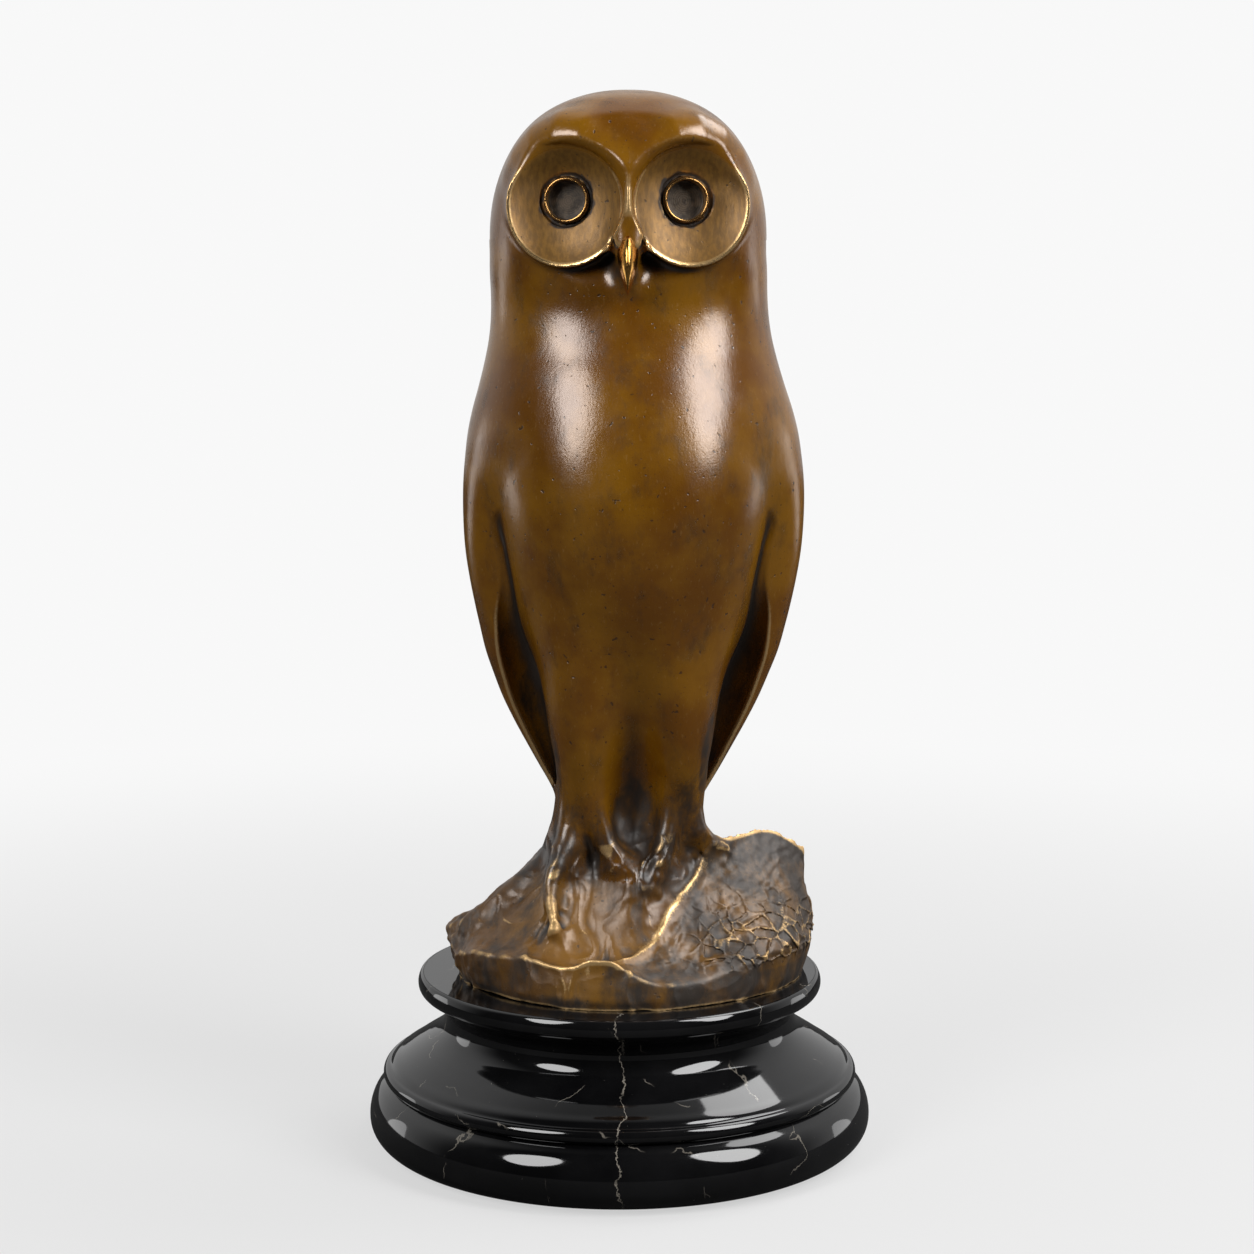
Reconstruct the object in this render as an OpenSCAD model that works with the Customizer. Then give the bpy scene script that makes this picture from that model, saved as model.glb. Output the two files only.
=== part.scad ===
// Owl figurine: a hollow bronze owl on a bronze rock, bolted to a turned marble base.
// Millimetres, +Z up. The origin is the centre of the felt pad's underside, and the owl looks along -Y.

/* [Owl casting] */
// Height of the owl above the joint with the rock
owl_h = 212; // [177:1:254]
// Width across the folded wings
owl_width = 93.6; // [78:0.2:112]
// Reach of the belly in front of the casting axis
owl_front = 40; // [33:0.5:48]
// Reach of the shoulders behind the casting axis
owl_back = 37; // [31:0.5:44]
// Height of the rounded crown above the widest part of the head
crown_h = 40; // [33:0.5:48]
// Thickness of the bronze walls
wall = 3.5; // [2.9:0.1:4.2]
// Sideways place of the castings on the base
casting_x = 2.4; // [0:0.1:4]

/* [Face] */
// Drop from the crown to the middle of the eyes
eye_drop = 30.6; // [26:0.1:36]
// Distance from the middle of the face to each eye
eye_x = 15.6; // [13:0.1:17]
// Outer radius of an eye cup
eye_r = 6.1; // [5:0.1:7.3]
// Radius of the opening of an eye cup
eye_hole_r = 5.1; // [4.2:0.1:5.2]
// Depth of an eye cup from its lip to its back
eye_depth = 5; // [4.2:0.1:6]
// Depth of the hollow inside an eye cup
recess = 2.6; // [2.2:0.1:3.1]
// How far the lip of an eye cup stands out of the face
eye_lip = 1.2; // [1:0.1:1.4]
// Turn of each eye to its side, in degrees
eye_turn = 16; // [13:0.5:19]
// Radius of the bowl round each eye
bowl_r = 15.4; // [13:0.1:18]
// Depth of the bowl round each eye
bowl_depth = 3.6; // [3:0.1:4.3]
// Drop from the crown to the top of the beak
beak_drop = 39; // [36:0.5:45]
// Length of the beak
beak_len = 16.5; // [14:0.1:19.8]
// Width of the beak at its root
beak_w = 6; // [5:0.1:7.2]
// How far the beak stands out of its seat
beak_reach = 7; // [6:0.1:8.4]

/* [Rock casting] */
// Height of the joint above the marble
rock_h = 30; // [27:0.5:36]
// Radius of the rock on the marble
rock_r = 47; // [42:0.5:52]
// Height of the rock's edge on its low side
rock_low = 11; // [9.2:0.1:13]
// Height of the rock's peak on its high side
rock_high = 39; // [32:0.5:46]

/* [Joint between the castings] */
// Outer radius of the sleeve
sleeve_r = 13; // [11:0.1:14]
// Wall of the sleeve
sleeve_wall = 2.5; // [2.1:0.1:3]
// How far the sleeve goes into each casting
sleeve_depth = 10; // [8.4:0.1:12]
// Radius of the pins through the sleeve
pin_r = 1.5; // [1.2:0.1:1.8]
// Length of the pins
pin_len = 8; // [6.7:0.1:8.2]

/* [Marble base] */
// Radius of the foot
foot_r = 70.3; // [62:0.1:84]
// Height of the marble
base_h = 47; // [42:0.5:56]
// Radius of the neck
neck_r = 48.8; // [44:0.1:50]
// Radius of the top lip
lip_r = 56.1; // [53:0.1:58]

/* [Fastening] */
// Radius of the stud
stud_r = 4; // [3:0.5:4.5]
// Clearance of the stud in the marble, on the radius
stud_gap = 0.6; // [0.5:0.1:0.8]
// Width of the nuts across flats
nut_af = 13; // [12:0.5:15]
// Height of the nuts
nut_h = 6.5; // [5.4:0.1:7.8]
// Outer radius of the large washer
washer_r = 12; // [10:0.5:13.5]
// Thickness of the large washer
washer_t = 2; // [1.6:0.1:2.4]
// Thickness of the spring washer
spring_t = 2; // [1.6:0.1:2.4]
// Radius of the counterbore under the marble
well_r = 14; // [13.8:0.2:16.8]
// Thickness of the cross bar
bar_t = 4; // [3.3:0.1:4.8]
// Width of the cross bar
bar_w = 18; // [15:0.5:21.6]
// Radius of the locating pin
peg_r = 2; // [1.6:0.1:2.4]
// Distance of the locating pin from the stud
peg_x = 28; // [23:0.5:32]
// Depth of the locating pin in the marble
peg_depth = 10; // [8.4:0.1:12]

/* [Felt] */
// Thickness of the felt pad
felt_t = 1; // [0.8:0.1:1.2]
// Radius of the felt pad
felt_r = 60; // [52:0.5:62]

/* [Fits] */
// Clearance of pressed and screwed fits, on the radius
fit_gap = 0.05; // [0.04:0.01:0.06]
// Clearance of brazed and seated pieces
seat_gap = 0.2; // [0.16:0.02:0.24]

/* [Hidden] */
$fn = 96;

sides = 64;
owl_levels = 40;
cavity_levels = 15;
joint_z = felt_t + base_h + rock_h;
marble_top = felt_t + base_h;
crown_z = joint_z + owl_h;
head_z = crown_z - crown_h;
eye_z = crown_z - eye_drop;
beak_top = crown_z - beak_drop;
core_r = sleeve_r - sleeve_wall;
bar_z = marble_top + 0.5;
bar_r = rock_r - wall - seat_gap - 0.1;
washer_gap = 4 * fit_gap;
spring_split = 1;
stud_end = 1.5;
well_depth = washer_t + spring_t + nut_h + 2 * stud_end;
well_top = felt_t + well_depth;
spring_z = well_top - washer_t - spring_t;
stud_bottom = spring_z - nut_h - stud_end;
stud_top = bar_z + bar_t + nut_h + stud_end;

// Shares of the full width and reach, along the height from the joint to the head.
width_shares = [[0, 0.47], [0.08, 0.42], [0.12, 0.45], [0.27, 0.75], [0.39, 0.9], [0.55, 0.99],
    [0.62, 1], [0.74, 0.925], [0.82, 0.83], [0.89, 0.79], [1, 0.8]];
front_shares = [[0, 0.5], [0.12, 0.5], [0.27, 0.74], [0.39, 0.86], [0.51, 0.95], [0.62, 1],
    [0.73, 0.96], [0.81, 0.88], [0.89, 0.79], [1, 0.775]];
back_shares = [[0, 0.65], [0.12, 0.6], [0.27, 0.7], [0.39, 0.81], [0.51, 0.905], [0.62, 0.97],
    [0.74, 1], [0.89, 0.93], [1, 0.92]];

// Smooth curve through a table of [place, value] pairs.
function table_step(table, place, i = 0) =
    i >= len(table) - 2 || place < table[i + 1][0] ? i : table_step(table, place, i + 1);
function table_slope(table, i) =
    let (low = max(i - 1, 0), high = min(i + 1, len(table) - 1))
    (table[high][1] - table[low][1]) / (table[high][0] - table[low][0]);
function along(table, place) =
    let (i = table_step(table, place), span = table[i + 1][0] - table[i][0])
    let (t = (place - table[i][0]) / span, u = 1 - t)
    let (a = table[i][1], b = table[i + 1][1])
    let (da = span * table_slope(table, i), db = span * table_slope(table, i + 1))
    (1 + 2 * t) * u * u * a + t * u * u * da + t * t * (3 - 2 * t) * b - t * t * u * db;

// Smooth step from 0 to 1 between two places.
function ease(low, high, place) =
    let (t = min(max((place - low) / (high - low), 0), 1)) t * t * (3 - 2 * t);

// The owl's outer skin. A share follows its table up to the head and the rounded crown above it.
function crown_share(z) = z <= head_z ? 1 : pow(max(1 - pow((z - head_z) / crown_h, 2.2), 0), 1 / 2.2);
function owl_share(table, z) = along(table, min((z - joint_z) / (head_z - joint_z), 1)) * crown_share(z);
function half_width(z) = owl_width / 2 * owl_share(width_shares, z);
function front_reach(z) = owl_front * owl_share(front_shares, z);
function back_reach(z) = owl_back * owl_share(back_shares, z);

// Hollows of the front: a bowl round each eye, a groove beside each wing, a groove between the legs.
function bowl(x, z) =
    let (out = (pow(abs(x) - eye_x, 2) + pow(z - eye_z, 2)) / pow(bowl_r, 2))
    bowl_depth * max(1 - out * out, 0);
function wing_groove(x, z) =
    let (side = abs(x) / max(half_width(z), 1), height = (z - joint_z) / owl_h)
    5 * exp(-pow((side - 0.84) / 0.07, 2)) * ease(0.08, 0.2, height) * (1 - ease(0.55, 0.66, height));
function leg_groove(x, z) = 4 * exp(-pow(x / 4, 2)) * (1 - ease(0.1, 0.35, (z - joint_z) / owl_h));
function hollow(x, z) = bowl(x, z) + wing_groove(x, z) + leg_groove(x, z);
function skin_y(x, z) = -front_reach(z) * sqrt(max(1 - pow(x / half_width(z), 2), 0)) + hollow(x, z);
function skin_point(angle, z) =
    let (x = half_width(z) * cos(angle))
    [x, sin(angle) > 0 ? back_reach(z) * sin(angle) : min(skin_y(x, z), 0), z];
function skin_radius(angle, z) = let (p = skin_point(angle, z)) norm([p[0], p[1]]);

// The cavity: round at the sleeve, then one wall inside the skin, with more metal behind the eyes.
function eye_backing(angle, z) =
    sin(angle) > 0 ? 0 : (eye_depth + 1.5) * min(2 * bowl(skin_point(angle, z)[0], z) / bowl_depth, 1);
function cavity_z(z) = joint_z + (z - joint_z) * (owl_h - wall) / owl_h;
function cavity_point(angle, z) =
    let (inside = skin_radius(angle, z) - wall - eye_backing(angle, z))
    let (neck = ease(joint_z + sleeve_depth + 2, joint_z + sleeve_depth + 18, z))
    let (radius = max(core_r + (inside - core_r) * neck, 0.3))
    let (p = skin_point(angle, z), size = max(norm([p[0], p[1]]), 0.01))
    neck <= 0 ? [core_r * cos(angle), core_r * sin(angle), cavity_z(z)]
              : [radius * p[0] / size, radius * p[1] / size, cavity_z(z)];

// Levels close up towards the crown.
function level(share) = joint_z + owl_h * (1 - pow(1 - share, 1.5));
function ring_angles() = [for (i = [0 : sides - 1]) 360 * (i + 0.5) / sides];

// Faces between neighbouring rings of a list of rings.
function band(low, high) =
    let (a = low * sides, b = high * sides)
    [for (i = [0 : sides - 1]) let (n = (i + 1) % sides) [a + i, b + i, b + n, a + n]];
function bands(count) = [for (k = [0 : count - 2]) each band(k, k + 1)];

// Bench shapes
module hex_nut(z) {
    translate([casting_x, 0, z])
        difference() {
            cylinder(h = nut_h, r = nut_af / 2 / cos(30), $fn = 6);
            translate([0, 0, -1]) cylinder(h = nut_h + 2, r = stud_r + fit_gap);
        }
}

module ring(z, height, outer, inner) {
    translate([casting_x, 0, z])
        difference() {
            cylinder(h = height, r = outer);
            translate([0, 0, -1]) cylinder(h = height + 2, r = inner);
        }
}

// Puts a turned piece on the axis of one eye, with z = 0 at the back of its socket.
module at_eye(side) {
    translate([casting_x + side * eye_x, skin_y(eye_x, eye_z), eye_z])
        rotate([90, 0, side * eye_turn])
            translate([0, 0, eye_lip - eye_depth])
                children();
}

// Two pins in each casting, from the inside of the sleeve through the casting's wall.
// Their holes are wider by grow and start nearer the axis by early.
module pin_set(grow = 0, early = 0) {
    for (turn = [0, 180], height = [sleeve_depth / 2, -sleeve_depth / 2])
        translate([casting_x, 0, joint_z + height])
            rotate([0, 90, turn])
                translate([0, 0, core_r - early])
                    cylinder(h = pin_len + early, r = pin_r + grow, $fn = 32);
}

module sleeve_socket(low) {
    translate([casting_x, 0, low]) cylinder(h = sleeve_depth + 1, r = sleeve_r + fit_gap);
}

// Flat seat of the beak in the face, deep enough to find metal across the beak's width.
beak_seat_y = skin_y(0, beak_top - beak_len / 2) + 1;
module beak_seat() {
    seat_w = beak_w + 2 * seat_gap;
    translate([casting_x - seat_w / 2, beak_seat_y - 20, beak_top - beak_len - seat_gap])
        cube([seat_w, 20, beak_len + 2 * seat_gap]);
}

module owl_skin() {
    angles = ring_angles();
    cavity_heights = [for (k = [cavity_levels - 1 : -1 : 0]) level(k / cavity_levels)];
    skin_heights = [for (k = [0 : owl_levels - 1]) level(k / owl_levels)];
    cavity_rings = [for (z = cavity_heights) [for (a = angles) cavity_point(a, z)]];
    skin_rings = [for (z = skin_heights) [for (a = angles) skin_point(a, z)]];
    rings = concat(cavity_rings, skin_rings);
    last = (len(rings) - 1) * sides;
    inner_pole = len(rings) * sides;
    points = concat([for (r = rings) each r], [[0, 0, crown_z - wall], [0, 0, crown_z]]);
    inner_fan = [for (i = [0 : sides - 1]) [inner_pole, i, (i + 1) % sides]];
    outer_fan = [for (i = [0 : sides - 1]) [inner_pole + 1, last + (i + 1) % sides, last + i]];
    faces = concat(bands(len(rings)), inner_fan, outer_fan);
    translate([casting_x, 0, 0]) polyhedron(points, faces, convexity = 6);
}

module owl_casting() {
    color("#6b5730")
        difference() {
            owl_skin();
            sleeve_socket(joint_z - 1);
            pin_set(fit_gap, 1);
            at_eye(-1) cylinder(h = eye_depth + bowl_r, r = eye_r + fit_gap);
            at_eye(1) cylinder(h = eye_depth + bowl_r, r = eye_r + fit_gap);
            beak_seat();
        }
}

// The rock: rows of [radius, height] at one angle, outside up to the joint and inside down again.
function shoulder(angle) =
    rock_low + (rock_high - rock_low) * pow(max(cos(angle - 12), 0), 2) + 1.5 * sin(3 * angle);
function rim_radius(angle) = rock_r + 1.2 * sin(2 * angle + 50) + 0.8 * sin(5 * angle);
function rock_outside(angle) =
    let (rim = rim_radius(angle), top = shoulder(angle), collar = skin_radius(angle, joint_z))
    [[rim, 0], [rim * 1.04, top * 0.4], [rim * 0.99, top * 0.85], [rim * 0.84, top],
        [(rim * 0.84 + collar) / 2, top + (rock_h - top) * 0.4],
        [collar * 1.06, rock_h - 4], [collar, rock_h]];
function rock_inside(angle) =
    let (rim = rim_radius(angle) - wall, top = shoulder(angle) - wall, roof = rock_h - sleeve_depth - 4)
    [[core_r, rock_h], [core_r, roof], [(rim * 0.82 + core_r) / 2, min(top + (roof - top) * 0.5, roof)],
        [rim * 0.82, top], [rim * 0.97, top * 0.8], [rim * 1.01, top * 0.4], [rim, 0]];

function rock_point(angle, row) = [row[0] * cos(angle), row[0] * sin(angle), marble_top + row[1]];
function between(rows, i, t) =
    let (a = rows[max(i - 1, 0)], b = rows[i], c = rows[i + 1], d = rows[min(i + 2, len(rows) - 1)])
    b + 0.5 * t * (c - a + t * (2 * a - 5 * b + 4 * c - d + t * (3 * (b - c) + d - a)));
function smoothed(rows, count) =
    let (last = len(rows) - 1)
    concat([for (i = [0 : last - 1], k = [0 : count - 1]) between(rows, i, k / count)], [rows[last]]);

module rock_skin() {
    columns = [for (a = ring_angles()) concat(smoothed(rock_outside(a), 3), rock_inside(a))];
    angles = ring_angles();
    count = len(columns[0]);
    points = [for (k = [0 : count - 1]) for (i = [0 : sides - 1]) rock_point(angles[i], columns[i][k])];
    faces = concat(bands(count), band(count - 1, 0));
    translate([casting_x, 0, 0]) polyhedron(points, faces, convexity = 6);
}

module rock_casting() {
    color("#5d4c2a")
        difference() {
            rock_skin();
            sleeve_socket(joint_z - sleeve_depth);
            pin_set(fit_gap, 1);
        }
}

// Turned cup: a rounded lip round a deep floor, which a turning tool has left slightly stepped.
module turned_cup() {
    lip = (eye_r - eye_hole_r) / 2;
    floor_z = eye_depth - recess;
    step = 0.25;
    rotate_extrude()
        polygon(concat(
            [[0, 0], [eye_r, 0]],
            arc([eye_hole_r + lip, eye_depth - lip], lip, lip, 0, 180),
            [[eye_hole_r, floor_z], [eye_hole_r * 0.62, floor_z]],
            [[eye_hole_r * 0.6, floor_z - step], [0, floor_z - step]]
        ));
}

module eye_cup_left() {
    color("#8a7138") at_eye(-1) turned_cup();
}

module eye_cup_right() {
    color("#8a7138") at_eye(1) turned_cup();
}

// The beak is where its side view and its front view cross. Both run down from its root.
module beak_side() {
    rows = [[0, 0], [0.4, 0.03], [0.75, 0.2], [0.97, 0.45], [1, 0.7], [0.9, 1], [0.6, 0.9], [0, 0.8]];
    polygon([for (row = rows) [-beak_reach * row[0], -beak_len * row[1]]]);
}

module beak_front() {
    rows = [[0.3, 0], [0.5, 0.25], [0.42, 0.6], [0.08, 1]];
    right = [for (row = rows) [beak_w * row[0], -beak_len * row[1]]];
    left = [for (i = [3 : -1 : 0]) [-right[i][0], right[i][1]]];
    polygon(concat(right, left));
}

module beak() {
    color("#c9a24a")
        translate([casting_x, beak_seat_y - seat_gap, beak_top])
            intersection() {
                rotate([90, 0, 90]) translate([0, 0, -beak_w / 2]) linear_extrude(beak_w) beak_side();
                rotate([90, 0, 0]) linear_extrude(beak_reach + 1) beak_front();
            }
}

module joint_sleeve() {
    color("#9a7b3c")
        difference() {
            ring(joint_z - sleeve_depth, 2 * sleeve_depth, sleeve_r, core_r);
            pin_set(fit_gap, 1);
        }
}

module joint_pins() {
    color("#b08d45") pin_set();
}

module cross_bar() {
    color("#8c8f94")
        translate([casting_x, 0, bar_z])
            difference() {
                intersection() {
                    cylinder(h = bar_t, r = bar_r);
                    translate([-bar_r, -bar_w / 2, 0]) cube([2 * bar_r, bar_w, bar_t]);
                }
                translate([0, 0, -1]) cylinder(h = bar_t + 2, r = stud_r + fit_gap);
                translate([peg_x, 0, -1]) cylinder(h = bar_t + 2, r = peg_r + fit_gap);
            }
}

module stud() {
    color("#a9adb3") translate([casting_x, 0, stud_bottom]) cylinder(h = stud_top - stud_bottom, r = stud_r);
}

module upper_nut() {
    color("#b4b7bc") hex_nut(bar_z + bar_t);
}

module lower_nut() {
    color("#b4b7bc") hex_nut(spring_z - nut_h);
}

module large_washer() {
    color("#b4b7bc") ring(well_top - washer_t, washer_t, washer_r, stud_r + washer_gap);
}

module spring_washer() {
    color("#7d8188")
        difference() {
            ring(spring_z, spring_t, stud_r * 1.85, stud_r + washer_gap);
            translate([casting_x, -spring_split / 2, spring_z - 1])
                cube([stud_r * 3, spring_split, spring_t + 2]);
        }
}

module locating_pin() {
    color("#a9adb3")
        translate([casting_x + peg_x, 0, marble_top - peg_depth])
            cylinder(h = peg_depth + bar_z - marble_top + bar_t, r = peg_r);
}

// Turned outline, from the rounded lip down over the neck, the ogee and its bead to the foot.
function curve(a, b, c, d) =
    [for (i = [0 : 12])
        let (t = i / 12, u = 1 - t)
        u * u * u * a + 3 * t * u * u * b + 3 * t * t * u * c + t * t * t * d];
function arc(middle, across, up, from, to) =
    [for (i = [0 : 12])
        let (turn = from + (to - from) * i / 12)
        middle + [across * cos(turn), up * sin(turn)]];

module marble_outline() {
    lip_low = [lip_r - 3.6, base_h - 5];
    neck_top = [neck_r, base_h - 11.3];
    rim = [foot_r - 6.1, base_h - 26.1];
    foot_half = (base_h - 31.8) / 2;
    polygon(concat(
        [[0, 0], [0, base_h]],
        curve([lip_r - 1.6, base_h], [lip_r + 0.6, base_h], [lip_r + 0.7, base_h - 3.2], lip_low),
        curve(lip_low + [-0.3, -0.2], lip_low + [-1, -2], neck_top + [0.8, 2.2], neck_top + [0.3, 0.2]),
        curve(neck_top, neck_top + [-0.2, -5.2], rim + [-8.2, 5.4], rim),
        arc(rim + [0.4, -2.1], 1.6, 1.6, 80, -75),
        [rim + [1.1, -4.4], rim + [1.1, -5.7]],
        arc([foot_r - 7.9, foot_half], 7.9, foot_half, 61, -90)
    ));
}

module marble_base() {
    color("#17181b")
        difference() {
            translate([0, 0, felt_t]) rotate_extrude($fn = 180) marble_outline();
            translate([casting_x, 0, felt_t - 1]) cylinder(h = base_h + 2, r = stud_r + stud_gap);
            translate([casting_x, 0, felt_t - 1]) cylinder(h = well_depth + 1, r = well_r);
            translate([casting_x + peg_x, 0, marble_top - peg_depth])
                cylinder(h = peg_depth + 1, r = peg_r + fit_gap);
        }
}

module felt_pad() {
    color("#1f2a24") cylinder(h = felt_t, r = felt_r);
}

owl_casting();
rock_casting();
eye_cup_left();
eye_cup_right();
beak();
joint_sleeve();
joint_pins();
cross_bar();
stud();
upper_nut();
lower_nut();
large_washer();
spring_washer();
locating_pin();
marble_base();
felt_pad();
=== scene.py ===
"""Owl figurine: bronze owl and rock on a polished marble base. Sculpture sizes are in millimetres."""
import math
import bmesh
import bpy
import numpy as np
import openvdb
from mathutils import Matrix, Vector


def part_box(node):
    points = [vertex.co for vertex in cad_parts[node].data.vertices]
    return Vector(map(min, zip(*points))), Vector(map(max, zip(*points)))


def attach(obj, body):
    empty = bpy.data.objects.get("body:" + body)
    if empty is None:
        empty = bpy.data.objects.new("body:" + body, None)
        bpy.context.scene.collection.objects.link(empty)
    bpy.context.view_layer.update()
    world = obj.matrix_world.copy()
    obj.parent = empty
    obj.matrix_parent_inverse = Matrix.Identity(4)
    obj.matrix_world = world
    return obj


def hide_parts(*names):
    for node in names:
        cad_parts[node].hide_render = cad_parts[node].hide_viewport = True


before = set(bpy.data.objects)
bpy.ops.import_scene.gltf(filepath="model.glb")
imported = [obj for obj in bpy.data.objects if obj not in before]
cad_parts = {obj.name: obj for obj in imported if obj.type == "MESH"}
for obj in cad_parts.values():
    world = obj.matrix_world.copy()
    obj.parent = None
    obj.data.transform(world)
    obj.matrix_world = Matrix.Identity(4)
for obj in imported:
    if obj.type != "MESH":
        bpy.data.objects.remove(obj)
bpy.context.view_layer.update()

MM = 0.001
VOXEL = 0.5
MARBLE_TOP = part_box("marble_base")[1].z / MM
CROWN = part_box("owl_casting")[1].z / MM
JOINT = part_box("owl_casting")[0].z / MM
FACE_X = 2.4
EYE_X = 15.6
EYE_Z = CROWN - 30.6
FACE_FROM = 223
FEET_TOP = 96
TAIL_X = 3.2
ROCK_X = 2.5
ROCK_R = 47.6
WING_TIP = 95
WING_RIM = 0.93
PEAK_TOP = 95
ABOVE_ALL = 400
PAPER = (0.94, 0.94, 0.94, 1)


# ---- curves and soft set operations

def spline(table, place):
    """Smooth curve through (place, value) pairs, held at its ends."""
    knots = np.array(table, dtype=np.float64)
    place = np.clip(place, knots[0, 0], knots[-1, 0])
    slope = np.gradient(knots[:, 1], knots[:, 0])
    i = np.clip(np.searchsorted(knots[:, 0], place, side="right") - 1, 0, len(knots) - 2)
    span = knots[i + 1, 0] - knots[i, 0]
    u = (place - knots[i, 0]) / span
    v = 1 - u
    value = (1 + 2 * u) * v * v * knots[i, 1] + u * v * v * span * slope[i]
    value += u * u * (3 - 2 * u) * knots[i + 1, 1] - u * u * v * span * slope[i + 1]
    return value.astype(np.float32)


def ease(low, high, place):
    """Smooth step from 0 at low to 1 at high, which may lie below low."""
    u = np.clip((place - low) / (high - low), 0, 1)
    return u * u * (3 - 2 * u)


def hump(place, middle, width):
    """Smooth bump: 1 at middle and 0.37 at one width away."""
    u = (place - middle) / width
    return np.exp(-u * u)


def join(a, b, blend):
    """Union of two distances, with a fillet."""
    h = np.maximum(blend - np.abs(a - b), 0) / blend
    return np.minimum(a, b) - h * h * blend * 0.25


def common(a, b, blend):
    """What two distances share, with a rounded edge."""
    return -join(-a, -b, blend)


def cut(a, b, blend):
    """a without b, with a rounded edge."""
    return -join(-a, b, blend)


def rod(x, y, z, points, radii):
    """Distance to a chain of tapered rods through points."""
    best = None
    for (p, q, ra, rb) in zip(points[:-1], points[1:], radii[:-1], radii[1:]):
        ax, ay, az = (q[0] - p[0], q[1] - p[1], q[2] - p[2])
        t = ((x - p[0]) * ax + (y - p[1]) * ay + (z - p[2]) * az) / (ax * ax + ay * ay + az * az)
        t = np.clip(t, 0, 1)
        d = np.sqrt((x - p[0] - t * ax) ** 2 + (y - p[1] - t * ay) ** 2 + (z - p[2] - t * az) ** 2)
        d = d - (ra + (rb - ra) * t)
        best = d if best is None else np.minimum(best, d)
    return best


def egg(x, y, z, centre, radii):
    """Distance to an ellipsoid, close to true near its surface."""
    u, v, w = ((x - centre[0]) / radii[0], (y - centre[1]) / radii[1], (z - centre[2]) / radii[2])
    k = np.sqrt(u * u + v * v + w * w) + 1e-6
    g = np.sqrt((u / radii[0]) ** 2 + (v / radii[1]) ** 2 + (w / radii[2]) ** 2) + 1e-6
    return k * (k - 1) / g


# ---- noise

def hashed(i, j, k, seed):
    n = (i * 73856093) ^ (j * 19349663) ^ (k * 83492791) ^ (seed * 2654435)
    n = (n ^ (n >> 13)) * 1274126177
    n = n ^ (n >> 16)
    return ((n & 0xFFFF) / 65535.0).astype(np.float32)


def noise(x, y, z, size, seed=1):
    """Smooth value noise from -1 to 1 with features of about the given size."""
    x, y, z = np.broadcast_arrays(x / size, y / size, z / size)
    i, j, k = (np.floor(v).astype(np.int64) for v in (x, y, z))
    u, v, w = (x - i, y - j, z - k)
    u, v, w = (t * t * (3 - 2 * t) for t in (u, v, w))
    total = 0
    for a in (0, 1):
        for b in (0, 1):
            for c in (0, 1):
                share = (u if a else 1 - u) * (v if b else 1 - v) * (w if c else 1 - w)
                total = total + share * hashed(i + a, j + b, k + c, seed)
    return (total * 2 - 1).astype(np.float32)


def cells(x, y, z, size, seed=1):
    """Distances to the nearest and the second nearest of scattered seeds, in seed spacings."""
    x, y, z = np.broadcast_arrays(x / size, y / size, z / size)
    i, j, k = (np.floor(v).astype(np.int64) for v in (x, y, z))
    first = np.full(x.shape, 9.0, np.float32)
    second = first.copy()
    for a in (-1, 0, 1):
        for b in (-1, 0, 1):
            for c in (-1, 0, 1):
                px = i + a + hashed(i + a, j + b, k + c, seed)
                py = j + b + hashed(i + a, j + b, k + c, seed + 7)
                pz = k + c + hashed(i + a, j + b, k + c, seed + 13)
                d = np.sqrt((x - px) ** 2 + (y - py) ** 2 + (z - pz) ** 2).astype(np.float32)
                second = np.minimum(second, np.maximum(first, d))
                first = np.minimum(first, d)
    return first, second


# ---- the owl

# Middle of the body, and half width of the folded wings and head, from the feet up.
MIDDLE = [(70, 3.4), (96, 3.0), (125, 3.1), (145, 3.6), (165, 3.8), (185, 3.9), (204, 3.6),
          (218, 3.2), (231, 2.8), (244, 2.4), (290, 2.4)]
WING_HALF = [(90, 16), (98, 20.6), (104.7, 24.6), (111.5, 28.4), (118.3, 32.1), (125, 35.4),
             (131.7, 38.1), (138, 40.4), (145, 42.2), (152, 43.8), (158, 45.0), (165, 46.1),
             (175, 46.8), (185, 46.7), (191.5, 46.1), (198, 45.1), (204.6, 43.4), (211, 41.3),
             (217.7, 39.4), (224, 37.9), (230.7, 37.1), (237, 37.0), (244, 37.4), (250, 37.5), (256, 37.5)]
WING_FRONT = [(90, 9), (104, 11), (125, 14), (150, 17), (165, 19), (176, 22), (187, 26), (200, 28.6),
              (212, 28.6), (222, 27), (231, 27), (240, 30.5), (246, 34.2), (250, 35), (254, 35), (256, 35)]
WING_BACK = [(90, 18), (98, 20), (110, 22.5), (125, 26), (145, 30.5), (165, 34), (185, 36.5),
             (205, 37), (218, 36), (231, 34.8), (243, 34.5), (250, 34.5), (256, 34.5)]
# Belly and legs between the wings.
BELLY_MIDDLE = [(60, 3.5), (98, 3.4), (106, 3.0), (114, 2.6), (124, 3.0), (138, 3.7), (160, 3.8),
                (185, 4.0), (211, 3.4), (240, 2.6)]
BELLY_HALF = [(60, 24), (80, 20.5), (92, 18.6), (98, 18.6), (106, 18.6), (114, 19.4), (118, 20.4),
              (124.4, 22.3), (130.6, 24.8), (137.7, 27.9), (144.7, 30.7), (152, 32.7), (160.4, 34.5),
              (168.7, 36.3), (177, 38.0), (185, 39.2), (194, 39.6), (202, 39), (210, 37.4),
              (218, 35.4), (226, 34.2), (236, 33.6), (250, 33.4)]
BELLY_FRONT = [(60, 22), (80, 19), (92, 18), (98, 18.6), (110, 21.5), (125, 27), (145, 34), (165, 39.6),
               (180, 41.6), (189, 41.1), (196, 40), (203, 38.3), (210, 36), (215, 33.8), (220, 31.3),
               (226, 28.9), (234, 27.7), (250, 28)]
BELLY_BACK = [(60, 20), (80, 17), (98, 17), (125, 22), (165, 28), (200, 30), (250, 30)]
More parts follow.
